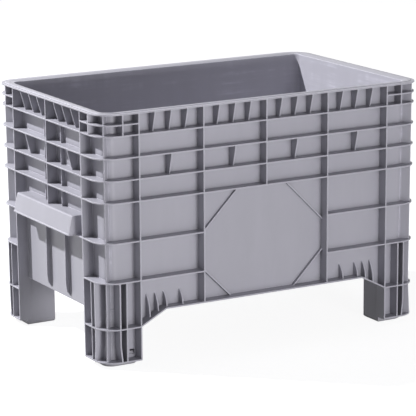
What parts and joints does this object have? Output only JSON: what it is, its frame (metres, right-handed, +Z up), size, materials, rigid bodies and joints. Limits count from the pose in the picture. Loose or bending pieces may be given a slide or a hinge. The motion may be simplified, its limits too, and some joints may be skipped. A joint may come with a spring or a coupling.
{
  "type": "plastic pallet box",
  "caption": "Deep open-topped plastic pallet box with ribbed walls, hollow corner legs, fork entries between the legs and a hooded handle on each short side.",
  "frame": {"origin": "middle of the footprint at the ground, in the plane of the leg caps' soles", "axes": "+X along the long sides, +Y across the box towards the back, +Z up"},
  "size_m": [1.04, 0.64, 0.682],
  "materials": {
    "box_body": "satin grey polyethylene",
    "leg_cap": "satin grey polyethylene"
  },
  "bodies": {
    "root": {"box_body": "box_body", "leg_cap_front_left": "leg_cap", "leg_cap_front_right": "leg_cap", "leg_cap_back_left": "leg_cap", "leg_cap_back_right": "leg_cap"}
  },
  "joints": []
}
